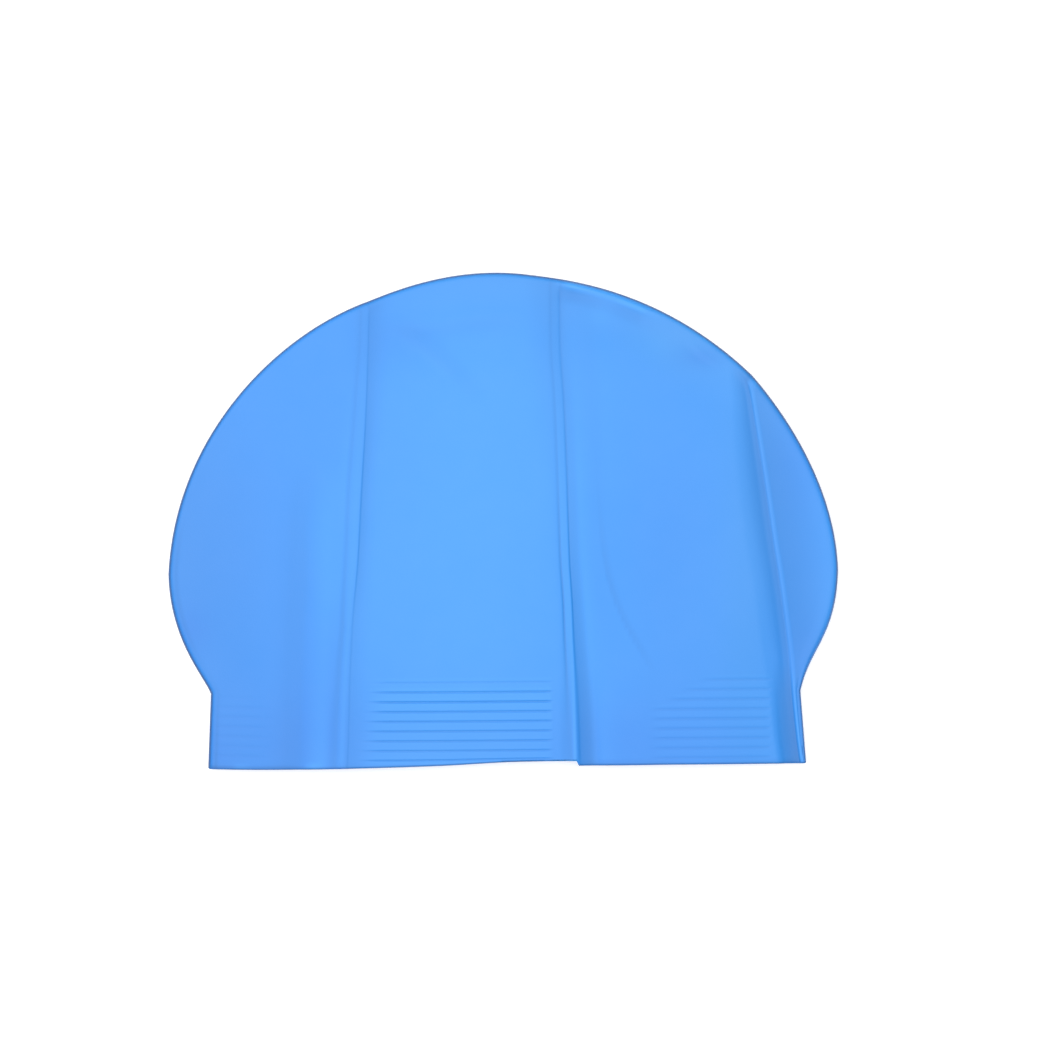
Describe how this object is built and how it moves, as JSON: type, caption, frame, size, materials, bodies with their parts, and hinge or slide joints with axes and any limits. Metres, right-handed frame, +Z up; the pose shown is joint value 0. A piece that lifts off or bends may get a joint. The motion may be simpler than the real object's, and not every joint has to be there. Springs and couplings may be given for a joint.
{
  "type": "swim cap",
  "caption": "Thin moulded rubber swim cap lying flat: a domed crown over a straight grooved grip band, open at the mouth.",
  "frame": {"origin": "on the surface the cap lies on, under the middle of its bounding box", "axes": "+X across the cap from its left to its right edge as seen from above, +Y from the mouth towards the top of the crown, +Z up"},
  "size_m": [0.2208, 0.1638, 0.01],
  "materials": {
    "cap_rubber": "satin"
  },
  "bodies": {
    "root": {"cap": "cap_rubber"}
  },
  "joints": []
}
